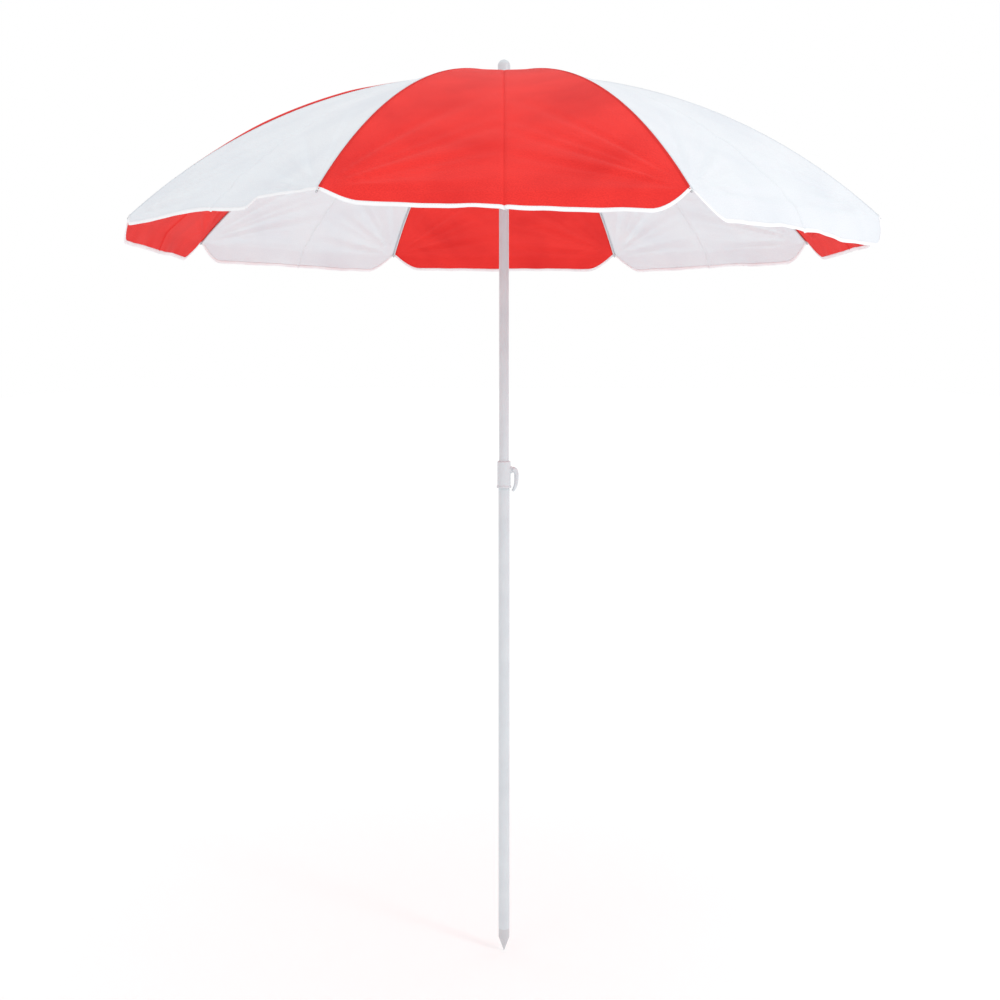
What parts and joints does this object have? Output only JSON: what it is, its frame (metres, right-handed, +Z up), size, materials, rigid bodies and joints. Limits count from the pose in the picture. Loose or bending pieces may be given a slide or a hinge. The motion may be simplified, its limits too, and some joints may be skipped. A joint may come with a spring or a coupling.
{
  "type": "beach umbrella",
  "caption": "Folding beach umbrella with alternating red and white flapped panels on a telescoping white pole with a hooked clamp screw and a pointed foot.",
  "frame": {"origin": "tip of the pointed foot, on the pole's axis", "axes": "+Z up the pole; -Y towards the front, where a red panel is centred; +X towards the clamp's hooked handle"},
  "size_m": [1.552, 1.552, 2],
  "materials": {
    "red_cloth": "matte",
    "white_cloth": "matte",
    "tube_coat": "gloss",
    "rib_coat": "satin",
    "painted_foot": "satin",
    "white_plastic": "gloss",
    "nylon_bush": "matte",
    "bright_steel": "satin"
  },
  "bodies": {
    "lower_pole": {"ground_spike": "painted_foot", "lower_tube": "tube_coat", "clamp_collar": "white_plastic", "clamp_nut": "bright_steel"},
    "clamp": {"clamp_screw": "bright_steel", "clamp_handle": "white_plastic"},
    "bush": {"tube_bush": "nylon_bush"},
    "upper_pole": {"upper_tube": "tube_coat", "crown_hub": "white_plastic", "crown_wire": "bright_steel", "crown_washer": "white_plastic", "finial": "white_plastic"},
    "slider": {"runner": "white_plastic", "runner_wire": "bright_steel"},
    "catch": {"catch_spring": "bright_steel"},
    "rib_arm_1": {"rib_1": "rib_coat", "rib_fittings_1": "bright_steel", "panel_1_cw": "red_cloth", "panel_1_ccw": "white_cloth"},
    "strut_1": {"stretcher_1": "rib_coat"},
    "rib_arm_2": {"rib_2": "rib_coat", "rib_fittings_2": "bright_steel", "panel_2_cw": "white_cloth", "panel_2_ccw": "red_cloth"},
    "strut_2": {"stretcher_2": "rib_coat"},
    "rib_arm_3": {"rib_3": "rib_coat", "rib_fittings_3": "bright_steel", "panel_3_cw": "red_cloth", "panel_3_ccw": "white_cloth"},
    "strut_3": {"stretcher_3": "rib_coat"},
    "rib_arm_4": {"rib_4": "rib_coat", "rib_fittings_4": "bright_steel", "panel_4_cw": "white_cloth", "panel_4_ccw": "red_cloth"},
    "strut_4": {"stretcher_4": "rib_coat"},
    "rib_arm_5": {"rib_5": "rib_coat", "rib_fittings_5": "bright_steel", "panel_5_cw": "red_cloth", "panel_5_ccw": "white_cloth"},
    "strut_5": {"stretcher_5": "rib_coat"},
    "rib_arm_6": {"rib_6": "rib_coat", "rib_fittings_6": "bright_steel", "panel_6_cw": "white_cloth", "panel_6_ccw": "red_cloth"},
    "strut_6": {"stretcher_6": "rib_coat"},
    "rib_arm_7": {"rib_7": "rib_coat", "rib_fittings_7": "bright_steel", "panel_7_cw": "red_cloth", "panel_7_ccw": "white_cloth"},
    "strut_7": {"stretcher_7": "rib_coat"},
    "rib_arm_8": {"rib_8": "rib_coat", "rib_fittings_8": "bright_steel", "panel_8_cw": "white_cloth", "panel_8_ccw": "red_cloth"},
    "strut_8": {"stretcher_8": "rib_coat"}
  },
  "joints": [
    {"name": "pole_slide", "type": "slide", "parent": "lower_pole", "child": "bush", "axis": [0, 0, 1], "range_m": [-0.45, 0]},
    {"name": "pole_swivel", "type": "hinge", "parent": "bush", "child": "upper_pole", "pos_m": [0, 0, 0.93], "axis": [0, 0, 1], "continuous": true},
    {"name": "clamp_turn", "type": "hinge", "parent": "lower_pole", "child": "clamp", "pos_m": [0.0185, 0, 1.079], "axis": [1, 0, 0], "range_deg": [0, 180]},
    {"name": "catch_press", "type": "slide", "parent": "upper_pole", "child": "catch", "axis": [0, 1, 0], "range_m": [0, 0.0042], "stiffness_N_per_m": 600, "springref_m": -0.002},
    {"name": "canopy_fold", "type": "hinge", "parent": "upper_pole", "child": "rib_arm_1", "pos_m": [0.01663, 0.00689, 1.95862], "axis": [-0.3827, 0.9239, 0], "range_deg": [0, 63], "deforming": ["panel_1_cw", "panel_1_ccw", "catch_spring"]},
    {"name": "strut_fold_1", "type": "hinge", "parent": "rib_arm_1", "child": "strut_1", "pos_m": [0.35454, 0.14685, 1.87923], "axis": [-0.3827, 0.9239, 0], "range_deg": [-126, 0]},
    {"name": "rib_fold_2", "type": "hinge", "parent": "upper_pole", "child": "rib_arm_2", "pos_m": [0.00689, 0.01663, 1.95862], "axis": [-0.9239, 0.3827, 0], "range_deg": [0, 63], "deforming": ["panel_2_cw", "panel_2_ccw"]},
    {"name": "strut_fold_2", "type": "hinge", "parent": "rib_arm_2", "child": "strut_2", "pos_m": [0.14685, 0.35454, 1.87923], "axis": [-0.9239, 0.3827, 0], "range_deg": [-126, 0]},
    {"name": "rib_fold_3", "type": "hinge", "parent": "upper_pole", "child": "rib_arm_3", "pos_m": [-0.00689, 0.01663, 1.95862], "axis": [-0.9239, -0.3827, 0], "range_deg": [0, 63], "deforming": ["panel_3_cw", "panel_3_ccw"]},
    {"name": "strut_fold_3", "type": "hinge", "parent": "rib_arm_3", "child": "strut_3", "pos_m": [-0.14685, 0.35454, 1.87923], "axis": [-0.9239, -0.3827, 0], "range_deg": [-126, 0]},
    {"name": "rib_fold_4", "type": "hinge", "parent": "upper_pole", "child": "rib_arm_4", "pos_m": [-0.01663, 0.00689, 1.95862], "axis": [-0.3827, -0.9239, 0], "range_deg": [0, 63], "deforming": ["panel_4_cw", "panel_4_ccw"]},
    {"name": "strut_fold_4", "type": "hinge", "parent": "rib_arm_4", "child": "strut_4", "pos_m": [-0.35454, 0.14685, 1.87923], "axis": [-0.3827, -0.9239, 0], "range_deg": [-126, 0]},
    {"name": "rib_fold_5", "type": "hinge", "parent": "upper_pole", "child": "rib_arm_5", "pos_m": [-0.01663, -0.00689, 1.95862], "axis": [0.3827, -0.9239, 0], "range_deg": [0, 63], "deforming": ["panel_5_cw", "panel_5_ccw"]},
    {"name": "strut_fold_5", "type": "hinge", "parent": "rib_arm_5", "child": "strut_5", "pos_m": [-0.35454, -0.14685, 1.87923], "axis": [0.3827, -0.9239, 0], "range_deg": [-126, 0]},
    {"name": "rib_fold_6", "type": "hinge", "parent": "upper_pole", "child": "rib_arm_6", "pos_m": [-0.00689, -0.01663, 1.95862], "axis": [0.9239, -0.3827, 0], "range_deg": [0, 63], "deforming": ["panel_6_cw", "panel_6_ccw"]},
    {"name": "strut_fold_6", "type": "hinge", "parent": "rib_arm_6", "child": "strut_6", "pos_m": [-0.14685, -0.35454, 1.87923], "axis": [0.9239, -0.3827, 0], "range_deg": [-126, 0]},
    {"name": "rib_fold_7", "type": "hinge", "parent": "upper_pole", "child": "rib_arm_7", "pos_m": [0.00689, -0.01663, 1.95862], "axis": [0.9239, 0.3827, 0], "range_deg": [0, 63], "deforming": ["panel_7_cw", "panel_7_ccw"]},
    {"name": "strut_fold_7", "type": "hinge", "parent": "rib_arm_7", "child": "strut_7", "pos_m": [0.14685, -0.35454, 1.87923], "axis": [0.9239, 0.3827, 0], "range_deg": [-126, 0]},
    {"name": "rib_fold_8", "type": "hinge", "parent": "upper_pole", "child": "rib_arm_8", "pos_m": [0.01663, -0.00689, 1.95862], "axis": [0.3827, 0.9239, 0], "range_deg": [0, 63], "deforming": ["panel_8_cw", "panel_8_ccw"]},
    {"name": "strut_fold_8", "type": "hinge", "parent": "rib_arm_8", "child": "strut_8", "pos_m": [0.35454, -0.14685, 1.87923], "axis": [0.3827, 0.9239, 0], "range_deg": [-126, 0]},
    {"name": "runner_follow", "type": "hinge", "parent": "strut_1", "child": "slider", "pos_m": [0.01663, 0.00689, 1.79983], "axis": [-0.3827, 0.9239, 0], "range_deg": [0, 63]}
  ],
  "couplings": [
    {"joint": "strut_fold_1", "follows": "canopy_fold", "ratio": -2},
    {"joint": "rib_fold_2", "follows": "canopy_fold", "ratio": 1},
    {"joint": "strut_fold_2", "follows": "canopy_fold", "ratio": -2},
    {"joint": "rib_fold_3", "follows": "canopy_fold", "ratio": 1},
    {"joint": "strut_fold_3", "follows": "canopy_fold", "ratio": -2},
    {"joint": "rib_fold_4", "follows": "canopy_fold", "ratio": 1},
    {"joint": "strut_fold_4", "follows": "canopy_fold", "ratio": -2},
    {"joint": "rib_fold_5", "follows": "canopy_fold", "ratio": 1},
    {"joint": "strut_fold_5", "follows": "canopy_fold", "ratio": -2},
    {"joint": "rib_fold_6", "follows": "canopy_fold", "ratio": 1},
    {"joint": "strut_fold_6", "follows": "canopy_fold", "ratio": -2},
    {"joint": "rib_fold_7", "follows": "canopy_fold", "ratio": 1},
    {"joint": "strut_fold_7", "follows": "canopy_fold", "ratio": -2},
    {"joint": "rib_fold_8", "follows": "canopy_fold", "ratio": 1},
    {"joint": "strut_fold_8", "follows": "canopy_fold", "ratio": -2},
    {"joint": "runner_follow", "follows": "canopy_fold", "ratio": 1}
  ]
}
